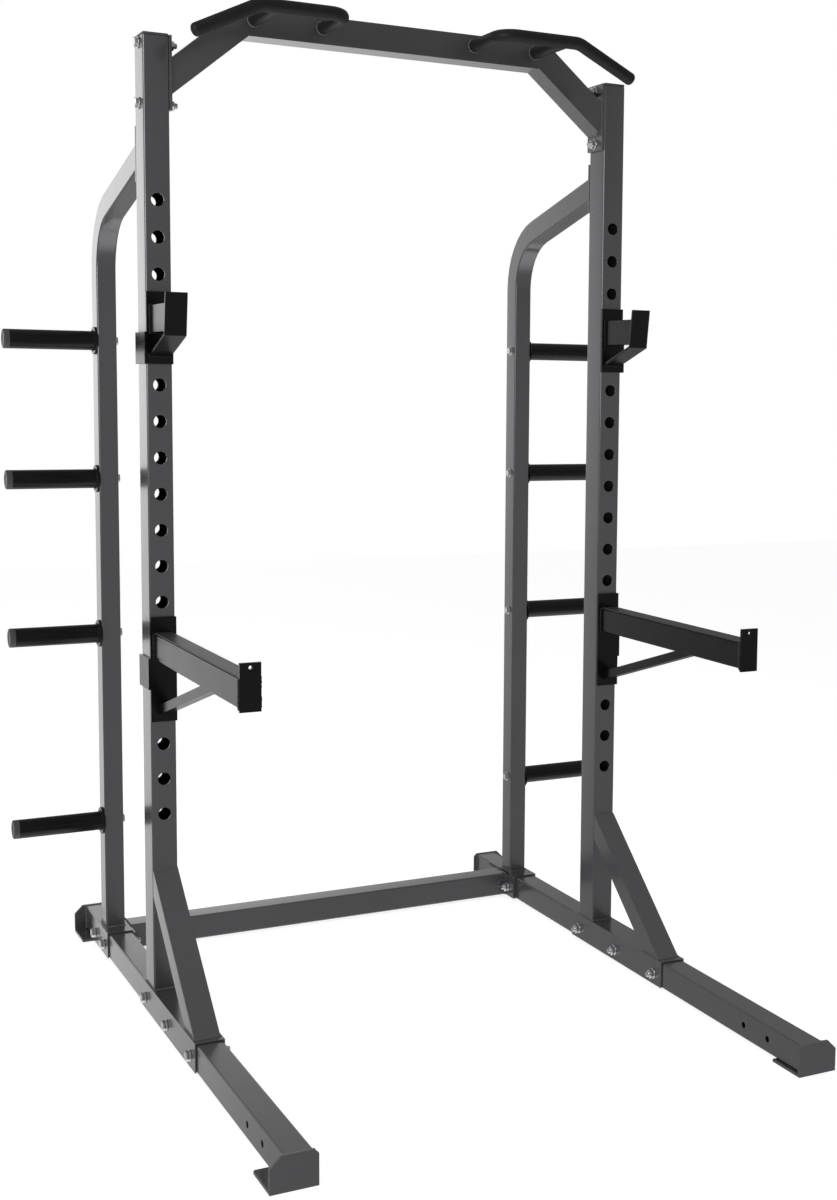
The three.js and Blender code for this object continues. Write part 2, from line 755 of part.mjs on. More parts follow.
/** Bent grip on two stems, in front of the pull-up bar. */
function gripPiece(side) {
  const face = -pullupBar.depth / 2 - FIT;
  const stemHeight = pullupBottom + pullupBar.height / 2;
  const barHeight = stemHeight + grip.rise;
  const lineY = face - grip.reach;
  const outer = straightHalf - grip.outerInset;
  const inner = outer - grip.stemSpacing;
  const forward = vector(0, -1, 0);
  const outward = vector(side, 0, 0);
  const wing = THREE.MathUtils.degToRad(grip.wingAngle);
  const drop = vector(side * Math.cos(wing), 0, -Math.sin(wing));
  const section = new THREE.Shape().absarc(0, 0, grip.diameter / 2, 0, Math.PI * 2);
  const start = vector(side * inner, face, barHeight);
  const corner = vector(side * inner, lineY + grip.cornerRadius, barHeight);
  const knee = vector(side * (outer + grip.wingPast), lineY, barHeight);
  const kneeBend = bendStations(knee, outward, drop, grip.wingRadius, 4);
  const tip = kneeBend.at(-1).point.clone().addScaledVector(drop, grip.wingLength);
  const stations = [
    { point: start, direction: forward },
    ...bendStations(corner, forward, outward, grip.cornerRadius, 8),
    ...kneeBend,
    { point: tip, direction: drop },
  ];
  const stem = rod('y', grip.diameter, face, lineY, { x: side * outer, z: barHeight });
  return join(sweep(section, stations, 6), stem);
}

// ---------------------------------------------------------------- assembly

const rack = new THREE.Group();

for (const [label, side] of [
  ['left', -1],
  ['right', 1],
]) {
  const group = new THREE.Group();
  group.position.x = side * halfSpacing;
  const add = (name, finish, body) => group.add(mesh(`${name}_${label}`, finish, body));

  add('base_rail', 'frame', baseRail());
  add('foot_front', 'frame', railFoot(side, -1));
  add('foot_rear', 'frame', railFoot(side, 1));
  add('front_saddle', 'frame', saddle(-frontSaddle.front, frontSaddle.rear, frontSaddle.wall, frontBoltPlaces));
  const rearHalf = rearSaddle.length / 2;
  const rearFront = rearSaddle.centre - rearHalf;
  add('rear_saddle', 'frame', saddle(rearFront, rearSaddle.centre + rearHalf, rearSaddle.wall, rearBoltPlaces));
  add('front_upright', 'frame', uprightTube());
  add('upright_cap', 'plastic', uprightCap());
  add('front_brace', 'frame', bracePiece());
  add('rear_post', 'frame', rearPostPiece());

  peg.heights.forEach((height, index) => {
    const piece = mesh(`plate_peg_${index + 1}_${label}`, 'black', pegPiece());
    piece.rotation.z = (-side * Math.PI) / 2;
    piece.position.set(side * (rearPost.width / 2 + FIT), rearPost.centre, height);
    group.add(piece);
  });

  add('hook_pin', 'zinc', bracketPin(holeHeight(hook.holeIndex)));
  add('bar_hook', 'black', hookPiece(side));
  add('arm_pin', 'zinc', bracketPin(holeHeight(arm.holeIndex)));
  add('spotter_arm', 'black', armPiece(side));
  add('arm_liner', 'black', armLiner());

  frontBoltPlaces.forEach((y, index) => {
    group.add(mesh(`front_base_bolt_${index + 1}_${label}`, 'zinc', baseBolt(side, y, 0)));
  });
  rearBoltPlaces.forEach((y, index) => {
    const flange = crossBeam.flange + FIT;
    group.add(mesh(`rear_base_bolt_${index + 1}_${label}`, 'zinc', baseBolt(side, y, flange)));
  });
  pullupBoltHeights.forEach((z, index) => {
    const inside = -side * (uprightSide + FIT + pullupBar.plate);
    const body = throughBolt('x', side * uprightSide, inside, { y: 0, z });
    group.add(mesh(`pullup_bolt_${index + 1}_${label}`, 'zinc', body));
  });
  postBoltHeights().forEach((z, index) => {
    const body = throughBolt('y', postFlangeBack, upright.depth / 2 - upright.wall, { x: 0, z });
    group.add(mesh(`post_bolt_${index + 1}_${label}`, 'zinc', body));
  });
  rack.add(group);
  rack.add(mesh(`pullup_grip_${label}`, 'rubber', gripPiece(side)));
}

rack.add(mesh('cross_beam', 'frame', crossBeamPiece()));
rack.add(mesh('pullup_bar', 'frame', pullupBarPiece()));

// The origin is on the floor, midway between the two ends of the feet.
rack.position.y = (rail.frontReach - rail.rearReach) / 2;

export default rack;
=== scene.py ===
"""Visual model of a free-standing half rack: painted steel tubes, bolted joints, welds, hooks and arms."""

import logging
import math
from dataclasses import dataclass, field
from enum import Enum
from typing import Iterable, Sequence

import bmesh
import bpy
from mathutils import Matrix, Vector


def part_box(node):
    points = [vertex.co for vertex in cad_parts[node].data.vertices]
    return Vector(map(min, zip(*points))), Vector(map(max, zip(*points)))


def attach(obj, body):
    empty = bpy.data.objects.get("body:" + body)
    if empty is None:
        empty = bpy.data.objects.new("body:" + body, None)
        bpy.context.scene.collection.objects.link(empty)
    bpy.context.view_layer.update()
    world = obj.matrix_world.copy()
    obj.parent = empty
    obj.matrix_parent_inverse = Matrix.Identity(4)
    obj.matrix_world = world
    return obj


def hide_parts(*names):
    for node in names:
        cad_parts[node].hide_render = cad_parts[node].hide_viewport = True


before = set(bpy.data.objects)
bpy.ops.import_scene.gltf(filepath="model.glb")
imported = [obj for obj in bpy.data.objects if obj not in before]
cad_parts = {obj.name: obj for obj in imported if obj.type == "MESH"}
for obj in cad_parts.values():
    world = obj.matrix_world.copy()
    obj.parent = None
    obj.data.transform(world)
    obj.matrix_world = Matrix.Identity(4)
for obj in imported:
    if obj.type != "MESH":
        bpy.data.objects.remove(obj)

LOG = logging.getLogger("rack")
MM = 0.001
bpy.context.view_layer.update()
INSIDE = "inside"
WHITE = (1.0, 1.0, 1.0, 1.0)
# near-black painted shade for the faces inside tube bores
BORE_SHADE_COLOUR = (0.012, 0.012, 0.012)
TURNED_CREASE = 30.0
GRIP_CREASE = 40.0
RGB = tuple[float, float, float]
Point = tuple[float, float, float]
Pair = tuple[float, float]
Profile = list[Pair]
Piece = bpy.types.Object


# ---- shader writing


class Wire:
    """A node's socket that takes part in Python arithmetic."""

    def __init__(self, sheet: "NodeSheet", socket: bpy.types.NodeSocket) -> None:
        """Wraps one output socket of a sheet."""
        self.sheet = sheet
        self.socket = socket

    def _math(self, operation: str, first: "Wire | float", second: "Wire | float") -> "Wire":
        """Adds one Math node and returns its result."""
        return self.sheet.node("ShaderNodeMath", {"operation": operation}, {0: first, 1: second})

    def __add__(self, other: "Wire | float") -> "Wire":
        """self + other."""
        return self._math("ADD", self, other)

    __radd__ = __add__

    def __mul__(self, other: "Wire | float") -> "Wire":
        """self * other."""
        return self._math("MULTIPLY", self, other)

    __rmul__ = __mul__

    def __sub__(self, other: "Wire | float") -> "Wire":
        """self - other."""
        return self._math("SUBTRACT", self, other)

    def __rsub__(self, other: "Wire | float") -> "Wire":
        """other - self."""
        return self._math("SUBTRACT", other, self)

    def __gt__(self, other: "Wire | float") -> "Wire":
        """1 where self is above other, else 0."""
        return self._math("GREATER_THAN", self, other)


class NodeSheet:
    """A node tree with a short way to write on it."""

    def __init__(self, tree: bpy.types.NodeTree) -> None:
        """Clears a tree to write on."""
        self.tree = tree
        self.tree.nodes.clear()

    def node(
        self,
        kind: str,
        settings: dict[str, object] | None = None,
        values: dict[str | int, object] | None = None,
        output: str | int | None = 0,
    ) -> Wire | None:
        """Adds any node.

        Args:
            kind: the node's type.
            settings: its properties, set before its sockets.
            values: input sockets by name, identifier or place, each a number, a vector or a wire.
            output: which output socket is wanted, or None on a node that ends the tree.

        Returns:
            The chosen output socket, if any.
        """
        made = self.tree.nodes.new(kind)
        for key, value in (settings or {}).items():
            setattr(made, key, value)
        for key, value in (values or {}).items():
            socket = self._find(made.inputs, key)
            if isinstance(value, Wire):
                self.tree.links.new(value.socket, socket)
            else:
                socket.default_value = value
        return None if output is None else Wire(self, self._find(made.outputs, output))

    @staticmethod
    def _find(sockets: Iterable, key: str | int) -> bpy.types.NodeSocket:
        """The socket at a place, or with that identifier or name."""
        listed = list(sockets)
        if isinstance(key, int):
            return listed[key]
        for socket in listed:
            if socket.identifier == key:
                return socket
        return next(socket for socket in listed if socket.name == key)


class ShaderSheet(NodeSheet):
    """A shader tree with the patterns that the finishes use."""

    def place(self) -> Wire:
        """The surface point in the object's own coordinates."""
        return self.node("ShaderNodeTexCoord", output="Object")

    def noise(self, scale: float, detail: float = 2.0, roughness: float = 0.5) -> Wire:
        """Soft noise from 0 to 1 with so many waves to the metre."""
        values = {"Vector": self.place(), "Scale": scale, "Detail": detail, "Roughness": roughness}
        return self.node("ShaderNodeTexNoise", values=values)

    def cells(self, scale: float) -> Wire:
        """Distance pattern with so many cells to the metre."""
        return self.node("ShaderNodeTexVoronoi", values={"Vector": self.place(), "Scale": scale})

    def blend(self, amount: Wire | float, low: RGB | Wire, high: RGB | Wire) -> Wire:
        """Mixes two colours."""
        first = low if isinstance(low, Wire) else (*low, 1.0)
        second = high if isinstance(high, Wire) else (*high, 1.0)
        values = {"Factor_Float": amount, "A_Color": first, "B_Color": second}
        settings = {"data_type": "RGBA", "clamp_factor": True}
        return self.node("ShaderNodeMix", settings, values, "Result_Color")

    def span(self, amount: Wire, low: float, high: float) -> Wire:
        """Stretches a wire from 0..1 to low..high."""
        return amount * (high - low) + low

    def bump(self, height: Wire, depth: float, strength: float = 1.0) -> Wire:
        """A surface normal raised by a height that is depth metres at 1."""
        values = {"Height": height, "Distance": depth, "Strength": strength}
        return self.node("ShaderNodeBump", values=values)

    def ramp(self, amount: Wire, start: float, end: float) -> Wire:
        """Rises smoothly from 0 at start to 1 at end."""
        settings = {"interpolation_type": "SMOOTHSTEP"}
        low, high = min(start, end), max(start, end)
        values = {"Value": amount, "From Min": low, "From Max": high}
        risen = self.node("ShaderNodeMapRange", settings, values)
        return risen if start < end else 1.0 - risen

    def end(self, surface: Wire, kind: str = "ShaderNodeOutputMaterial") -> None:
        """Links a shader to the tree's output."""
        self.node(kind, values={"Surface": surface}, output=None)


class PaintSheet(ShaderSheet):
    """The node tree of one new material."""

    def __init__(self, name: str) -> None:
        """Starts the material."""
        self.material = bpy.data.materials.new(name)
        self.material.use_nodes = True
        super().__init__(self.material.node_tree)

    def finish(self, **values: object) -> bpy.types.Material:
        """Ends the sheet with a Principled shader.

        Args:
            values: its sockets, with underscores for spaces.

        Returns:
            The material.
        """
        named = {key.replace("_", " "): value for key, value in values.items()}
        self.end(self.node("ShaderNodeBsdfPrincipled", values=named))
        return self.material


# ---- finishes


def brighter(colour: RGB, share: float) -> RGB:
    """A colour scaled up, held at white."""
    return tuple(min(1.0, channel * share) for channel in colour)


@dataclass(frozen=True)
class MetallicPaint:
    """Sprayed paint with metal flake, a clear gloss and a slight orange peel, with painted shade on the
    faces marked inside a tube.
    """

    name: str
    dark: RGB
    light: RGB
    metallic: float
    roughness: Pair
    coat: float
    peel_waves: float = 260.0
    peel_depth: float = 0.000007
    flake: float = 0.14
    gloss: float = 0.5

    def material(self) -> bpy.types.Material:
        """The paint as a material."""
        sheet = PaintSheet(self.name)
        drift = sheet.noise(5.0, 3.0)
        flakes = sheet.noise(1500.0, 1.0) > 0.6
        tone = sheet.blend(sheet.span(drift, 0.15, 0.85), self.dark, self.light)
        painted = sheet.blend(flakes * self.flake, tone, brighter(self.light, 1.9))
        # painted shade: faces marked inside a tube turn near black and rougher, with no metal and no coat
        bore_shade = sheet.node("ShaderNodeAttribute", {"attribute_name": INSIDE}, output="Fac")
        colour = sheet.blend(bore_shade, painted, BORE_SHADE_COLOUR)
        smears = sheet.noise(14.0, 4.0, 0.65)
        rough = sheet.span(smears, *self.roughness) + bore_shade * 0.5
        peel = sheet.noise(self.peel_waves, 1.0)
        return sheet.finish(
            Base_Color=colour,
            Metallic=(1.0 - bore_shade) * self.metallic,
            Roughness=rough,
            Coat_Weight=(1.0 - bore_shade) * self.coat,
            Coat_Roughness=0.08,
            Specular_IOR_Level=self.gloss,
            Normal=sheet.bump(peel, self.peel_depth),
        )


@dataclass(frozen=True)
class TexturedRubber:
    """Black grip rubber with a pebbled skin."""

    name: str
    colour: RGB
    pebble_waves: float

    def material(self) -> bpy.types.Material:
        """The rubber as a material."""
        sheet = PaintSheet(self.name)
        pebbles = sheet.cells(self.pebble_waves)
        dust = sheet.noise(40.0, 4.0, 0.6)
        colour = sheet.blend(dust * 0.5 + pebbles * 0.3, self.colour, brighter(self.colour, 2.2))
        height = pebbles + sheet.noise(900.0, 2.0) * 0.35
        return sheet.finish(
            Base_Color=colour,
            Roughness=sheet.span(dust, 0.42, 0.58),
            Specular_IOR_Level=0.36,
            Normal=sheet.bump(height, 0.00022, 0.8),
        )


@dataclass(frozen=True)
class BrightMetal:
    """Bare or plated steel with fine turning lines and a little haze."""

    name: str
    dark: RGB
    light: RGB
    roughness: Pair
    lines: float = 900.0

    def material(self) -> bpy.types.Material:
        """The metal as a material."""
        sheet = PaintSheet(self.name)
        haze = sheet.noise(90.0, 4.0, 0.6)
        grain = sheet.noise(self.lines, 2.0)
        return sheet.finish(
            Base_Color=sheet.blend(haze, self.dark, self.light),
            Metallic=1.0,
            Roughness=sheet.span(haze, *self.roughness),
            Normal=sheet.bump(grain, 0.00002),
        )


@dataclass(frozen=True)
class MouldedPlastic:
    """Moulded plastic with a fine spark-eroded grain."""

    name: str
    colour: RGB

    def material(self) -> bpy.types.Material:
        """The plastic as a material."""
        sheet = PaintSheet(self.name)
        grain = sheet.noise(700.0, 3.0, 0.6)
        shade = sheet.noise(30.0, 3.0)
        return sheet.finish(
            Base_Color=sheet.blend(shade, self.colour, brighter(self.colour, 1.5)),
            Roughness=sheet.span(shade, 0.36, 0.5),
            Normal=sheet.bump(grain, 0.00005),
        )


@dataclass(frozen=True)
class WearStrip:
    """Satin black strip on the arms, lightly scuffed along its length."""

    name: str
    colour: RGB

    def material(self) -> bpy.types.Material:
        """The strip as a material."""
        sheet = PaintSheet(self.name)
        stretch = {"Vector": sheet.place(), "Scale": (700.0, 12.0, 700.0)}
        streaks = sheet.node("ShaderNodeMapping", values=stretch)
        scuffs = sheet.node("ShaderNodeTexNoise", values={"Vector": streaks, "Scale": 1.0, "Detail": 3.0})
        return sheet.finish(
            Base_Color=sheet.blend(scuffs, self.colour, brighter(self.colour, 2.0)),
            Roughness=sheet.span(scuffs, 0.34, 0.55),
            Normal=sheet.bump(scuffs, 0.00004),
        )


class Coat(Enum):
    """The rack's finishes by the record's material slots."""

    FRAME = "frame_paint"
    BLACK = "black_paint"
    STRIP = "liner_paint"
    PIN = "pin_steel"
    RUBBER = "grip_rubber"
    CAP = "cap_plastic"
    ZINC = "zinc"


FINISHES = {
    Coat.FRAME: MetallicPaint(
        "gunmetal_paint", (0.170, 0.170, 0.178), (0.212, 0.212, 0.222), 0.8, (0.20, 0.27), 0.5
    ),
    Coat.BLACK: MetallicPaint(
        "gloss_black_paint",
        (0.0025, 0.0025, 0.003),
        (0.005, 0.005, 0.0055),
        0.0,
        (0.16, 0.28),
        0.05,
        flake=0.05,
        gloss=0.36,
    ),
    Coat.STRIP: WearStrip("wear_strip_black", (0.022, 0.022, 0.024)),
    Coat.PIN: BrightMetal("ground_pin_steel", (0.50, 0.50, 0.51), (0.66, 0.66, 0.67), (0.16, 0.30)),
    Coat.RUBBER: TexturedRubber("grip_rubber_black", (0.006, 0.006, 0.0065), 420.0),
    Coat.CAP: MouldedPlastic("cap_plastic_grey", (0.046, 0.047, 0.050)),
    Coat.ZINC: BrightMetal("bright_zinc", (0.74, 0.75, 0.76), (0.90, 0.91, 0.92), (0.18, 0.32)),
}


class PaintShop:
    """Keeps one material for each finish and dresses pieces with it."""

    def __init__(self) -> None:
        """Mixes every finish once."""
        self.pots = {coat: finish.material() for coat, finish in FINISHES.items()}

    def dress(self, piece: Piece, coat: Coat, body: str, *nodes: str) -> Piece:
        """Gives a finished piece its material, its body and the nodes that it stands for.

        Args:
            piece: a plain mesh in its place.
            coat: its finish.
            body: the body that it moves with.
            nodes: the frame's nodes that it replaces.

        Returns:
            The same piece.
        """
        piece.data.materials.clear()
        piece.data.materials.append(self.pots[coat])
        for face in piece.data.polygons:
            face.material_index = 0
        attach(piece, body)
        if nodes:
            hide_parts(*nodes)
        LOG.info("%s rides on %s", piece.name, body)
        return piece

    def refinish(self, node: str, prefix: str, edging: "Edging", coat: Coat, body: str = "frame") -> None:
        """Replaces a node with a dressed copy of it that has broken edges."""
        self.dress(broken_edge_copy(node, f"{prefix}_{node}", edging), coat, body, node)


# ---- mesh making


def add_object(name: str, mesh: bpy.types.Mesh) -> Piece:
    """Puts a mesh in the scene as an object at the origin."""
    piece = bpy.data.objects.new(name, mesh)
    bpy.context.scene.collection.objects.link(piece)
    return piece


def shade(mesh: bpy.types.Mesh, crease: float) -> None:
    """Smooth shading with sharp edges above an angle in degrees."""
    mesh.polygons.foreach_set("use_smooth", [True] * len(mesh.polygons))
    mesh.set_sharp_from_angle(angle=math.radians(crease))


def closed_piece(shape: bmesh.types.BMesh, name: str, crease: float) -> Piece:
    """Ends closed shells as one piece with faces pointing out and edges sharp above an angle in degrees."""
    bmesh.ops.recalc_face_normals(shape, faces=shape.faces)
    mesh = bpy.data.meshes.new(name)
    shape.to_mesh(mesh)
    shape.free()
    shade(mesh, crease)
    return add_object(name, mesh)


def settle(piece: Piece) -> Piece:
    """Turns a piece's modifiers into its own plain mesh."""
    seen = piece.evaluated_get(bpy.context.evaluated_depsgraph_get())
    mesh = bpy.data.meshes.new_from_object(seen)
    piece.modifiers.clear()
    piece.data = mesh
    return piece


@dataclass(frozen=True)
class Edging:
    """How a piece's edges are broken: width in millimetres, the angle that counts as an edge, and steps."""

    width: float
    crease: float
    steps: int = 2


TUBE_EDGE = Edging(0.7, 50.0)
PLATE_EDGE = Edging(0.9, 40.0, 3)
FOLD_EDGE = Edging(0.9, 35.0, 3)
CAP_EDGE = Edging(0.4, 40.0)
STRIP_EDGE = Edging(1.0, 40.0)
BRACE_EDGE = Edging(1.6, 35.0, 3)


def broken_edge_copy(node: str, name: str, edging: Edging) -> Piece:
    """A copy of a node with welded corners, merged flats and broken edges.

    Args:
        node: the frame's node.
        name: the new piece's name.
        edging: how its edges are broken.

    Returns:
        The new piece as a plain mesh.
    """
    shape = bmesh.new()
    shape.from_mesh(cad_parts[node].data)
    bmesh.ops.remove_doubles(shape, verts=shape.verts, dist=0.01 * MM)
    bmesh.ops.dissolve_limit(shape, angle_limit=math.radians(0.4), verts=shape.verts, edges=shape.edges)
    mesh = bpy.data.meshes.new(name)
    shape.to_mesh(mesh)
    shape.free()
    piece = add_object(name, mesh)
    mesh.polygons.foreach_set("use_smooth", [True] * len(mesh.polygons))
    bevel = piece.modifiers.new("edges", "BEVEL")
    bevel.width = edging.width * MM
    bevel.segments = edging.steps
    bevel.limit_method = "ANGLE"
    bevel.angle_limit = math.radians(edging.crease)
    bevel.use_clamp_overlap = True
    piece.modifiers.new("flats", "WEIGHTED_NORMAL").keep_sharp = True
    return settle(piece)


def mark_bore(piece: Piece, along: int, wall: float) -> Piece:
    """Marks the faces inside a straight tube, where the paint shows painted shade: near black and dull, with
    no metal or coat.

    Args:
        piece: the tube's plain mesh.
        along: the tube's axis, 0 to 2.
        wall: the tube's wall in millimetres.

    Returns:
        The same piece.
    """
    corners = [vert.co for vert in piece.data.vertices]
    across = [axis for axis in range(3) if axis != along]
    low = {axis: min(corner[axis] for corner in corners) for axis in across}
    high = {axis: max(corner[axis] for corner in corners) for axis in across}
    inset = (wall - 0.2) * MM
    marks = [
        float(all(low[axis] + inset < face.center[axis] < high[axis] - inset for axis in across))
        for face in piece.data.polygons
    ]
    piece.data.attributes.new(INSIDE, "FLOAT", "FACE").data.foreach_set("value", marks)
    return piece


def spokes(across: Vector, other: Vector, count: int, start: float = 0.0) -> list[Vector]:
    """Unit arms around a circle, from two directions across its axis."""
    turns = [2 * math.pi * (step + start) / count for step in range(count)]
    return [across * math.cos(turn) + other * math.sin(turn) for turn in turns]


@dataclass
class Turning:
    """Collects turned shells along one axis and makes them one mesh."""

    axis: Vector
    shells: bmesh.types.BMesh = field(default_factory=bmesh.new)

    def __post_init__(self) -> None:
        """Works out two directions across the axis."""
        self.axis = self.axis.normalized()
        self.across = self.axis.orthogonal().normalized()
        self.other = self.axis.cross(self.across)

    def shell(self, base: Vector, profile: Profile, sides: int = 48) -> None:
        """Adds a closed turned shell.

        Args:
            base: where the axis starts, in metres.
            profile: pairs of radius and distance along the axis in millimetres, on the axis at both ends.
            sides: how many sides the turning has.
        """
        arms = spokes(self.across, self.other, sides, 0.5)
        rings: list[list[bmesh.types.BMVert]] = []
        for radius, along in profile:
            centre = base + self.axis * along * MM
            if radius == 0:
                rings.append([self.shells.verts.new(centre)])
            else:
                rings.append([self.shells.verts.new(centre + arm * radius * MM) for arm in arms])
        for low, high in zip(rings, rings[1:]):
            for step in range(sides):
                nearer = low[step % len(low)], low[(step + 1) % len(low)]
                further = high[(step + 1) % len(high)], high[step % len(high)]
                corners = list(dict.fromkeys([*nearer, *further]))
                self.shells.faces.new(corners)

    def piece(self, name: str) -> Piece:
        """The shells as one piece."""
        return closed_piece(self.shells, name, TURNED_CREASE)


def hexagon_profile(flats: float, height: float) -> Profile:
    """Profile of a hexagonal head with a chamfered top, for six sides."""
    corner = flats / 2 / math.cos(math.pi / 6)
    return [(0, 0), (corner, 0), (corner, height * 0.8), (corner * 0.88, height), (0, height)]


def disc_profile(diameter: float, start: float, height: float, edge: float = 0.4) -> Profile:
    """Profile of a disc with broken edges."""
    radius, end = diameter / 2, start + height
    lower = [(0, start), (radius - edge, start), (radius, start + edge)]
    return [*lower, (radius, end - edge), (radius - edge, end), (0, end)]


# ---- geometry nodes


class NodeJig(NodeSheet):
    """A Geometry Nodes tree with named inputs that ends in Realize Instances and Set Material."""

    def __init__(self, name: str) -> None:
        """Starts a tree with a geometry input and output."""
        super().__init__(bpy.data.node_groups.new(name, "GeometryNodeTree"))
        for way in ("INPUT", "OUTPUT"):
            self.tree.interface.new_socket("Geometry", in_out=way, socket_type="NodeSocketGeometry")
        self.entry = self.tree.nodes.new("NodeGroupInput")
        self.inputs: dict[str, str] = {}

    @property
    def geometry(self) -> Wire:
        """The geometry that enters the tree."""
        return Wire(self, self.entry.outputs[0])

    def input(self, name: str, kind: str) -> Wire:
        """Adds a named input and returns it."""
        made = self.tree.interface.new_socket(name, in_out="INPUT", socket_type=kind)
        self.inputs[name] = made.identifier
        return Wire(self, self.entry.outputs[name])

    def close(self, instances: Wire, paint: Wire) -> None:
        """Realizes the instances, sets the material and ends the tree."""
        real = self.node("GeometryNodeRealizeInstances", values={0: instances})
        smooth = self.node("GeometryNodeSetShadeSmooth", values={0: real})
        painted = self.node("GeometryNodeSetMaterial", values={0: smooth, "Material": paint})
        self.node("NodeGroupOutput", values={0: painted}, output=None)

    def run(self, piece: Piece, values: dict[str, object]) -> Piece:
        """Runs the tree on a piece and keeps only the resulting plain mesh.

        Args:
            piece: the object whose mesh is the tree's geometry.
            values: the named inputs.

        Returns:
            The piece with its new mesh.
        """
        modifier = piece.modifiers.new(self.tree.name, "NODES")
        modifier.node_group = self.tree
        for name, value in values.items():
            modifier[self.inputs[name]] = value
        return settle(piece)


@dataclass(frozen=True)
class Bead:
    """A weld bead: its radius and ripple pitch in metres, and the seed of its ripples."""

    seed: int
    radius: float = 0.0018
    pitch: float = 0.002


class BeadJig(NodeJig):
    """Lays overlapping weld ripples along the edges of a mesh."""

    def __init__(self) -> None:
        """Writes the tree."""
        super().__init__("weld_bead")
        width = self.input("Bead Radius", "NodeSocketFloat")
        pitch = self.input("Ripple Pitch", "NodeSocketFloat")
        paint = self.input("Paint", "NodeSocketMaterial")
        seed = self.input("Seed", "NodeSocketInt")
        curve = self.node("GeometryNodeMeshToCurve", values={0: self.geometry})
        even = self.node("GeometryNodeResampleCurve", {"mode": "LENGTH"}, {"Curve": curve, "Length": pitch})
        ripple = self.node("GeometryNodeMeshUVSphere", values={"Segments": 10, "Rings": 6, "Radius": width})
        spread = {"Min": (0.82, 0.82, 0.82), "Max": (1.12, 1.12, 1.12), "Seed": seed}
        size = self.node("FunctionNodeRandomValue", {"data_type": "FLOAT_VECTOR"}, spread)
        places = {"Points": even, "Instance": ripple, "Scale": size}
        self.close(self.node("GeometryNodeInstanceOnPoints", values=places), paint)

    def lay(
        self,
        shop: PaintShop,
        name: str,
        rings: list[list[Vector]],
        bead: Bead,
        coat: Coat,
        body: str = "frame",
    ) -> None:
        """Lays painted beads along closed rings as one piece.

        Args:
            shop: where the paint is.
            name: the piece's name.
            rings: the corners of each ring, in metres.
            bead: the bead's sizes.
            coat: the paint.
            body: the body that the beads move with.
        """
        piece = path_object(name, rings, closed=True)
        values = {"Bead Radius": bead.radius, "Ripple Pitch": bead.pitch, "Seed": bead.seed}
        shop.dress(self.run(piece, {**values, "Paint": shop.pots[coat]}), coat, body)


class HeadJig(NodeJig):
    """Sets a washer and a hexagonal head on every point of a mesh, along X."""

    def __init__(self) -> None:
        """Writes the tree."""
        super().__init__("bolt_heads")
        head = self.input("Head Radius", "NodeSocketFloat")
        tall = self.input("Head Height", "NodeSocketFloat")
        washer = self.input("Washer Radius", "NodeSocketFloat")
        paint = self.input("Paint", "NodeSocketMaterial")
        bolt = {"Vertices": 6, "Radius": head, "Depth": tall}
        disc = {"Vertices": 32, "Radius": washer, "Depth": 0.0016}
        top = {"Vertices": 24, "Radius Bottom": head, "Radius Top": 0.004, "Depth": 0.0012}
        hexagon = self.node("GeometryNodeMeshCylinder", values=bolt)
        plate = self.node("GeometryNodeMeshCylinder", values=disc)
        crown = self.node("GeometryNodeMeshCone", values=top)
        lift = self.node("ShaderNodeCombineXYZ", values={"Z": tall * 0.5})
        raised = self.node("GeometryNodeTransform", values={0: crown, "Translation": lift})
        stack = self.node("GeometryNodeJoinGeometry")
        for part in (raised, plate, hexagon):
            self.tree.links.new(part.socket, stack.socket.node.inputs[0])
        along_x = {0: stack, "Rotation": (0.0, math.pi / 2, 0.0)}
        turned = self.node("GeometryNodeTransform", values=along_x)
        places = {"Points": self.geometry, "Instance": turned}
        self.close(self.node("GeometryNodeInstanceOnPoints", values=places), paint)


def path_object(name: str, paths: Iterable[Sequence[Vector]], closed: bool = False) -> Piece:
    """A piece made only of edges that follow the given paths."""
    verts: list[Vector] = []
    edges: list[tuple[int, int]] = []
    for path in paths:
        start = len(verts)
        verts.extend(path)
        edges.extend((start + i, start + i + 1) for i in range(len(path) - 1))
        if closed:
            edges.append((len(verts) - 1, start))
    mesh = bpy.data.meshes.new(name)
    mesh.from_pydata(verts, edges, [])
    return add_object(name, mesh)


# ---- places read from the frame


@dataclass(frozen=True)
class Side:
    """One side of the rack: its name and its direction along X."""

    name: str
    sign: int

    @property
    def outward(self) -> Vector:
        """The direction away from the rack's middle."""
        return Vector((self.sign, 0, 0))

    def node(self, base: str) -> str:
        """A node's full name on this side."""
        return f"{base}_{self.name}"

    def box(self, base: str) -> tuple[Vector, Vector]:
        """A node's lowest and highest corner on this side."""
        low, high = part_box(self.node(base))
        return Vector(low), Vector(high)


SIDES = (Side("left", -1), Side("right", 1))


def ring(axis: int, at: float, low: Sequence[float], high: Sequence[float]) -> list[Vector]:
    """Corners of a rectangle at a place on one axis, given on the other two axes in order."""
    corners = (tuple(low), (high[0], low[1]), tuple(high), (low[0], high[1]))
    return [Vector((*corner[:axis], at, *corner[axis:])) for corner in corners]


def circle(centre: Vector, axis: Vector, radius: float, steps: int = 40) -> list[Vector]:
    """Points around a circle, in metres."""
    across = axis.orthogonal().normalized()
    other = axis.normalized().cross(across)
    return [centre + arm * radius for arm in spokes(across, other, steps)]


# ---- sub-assemblies


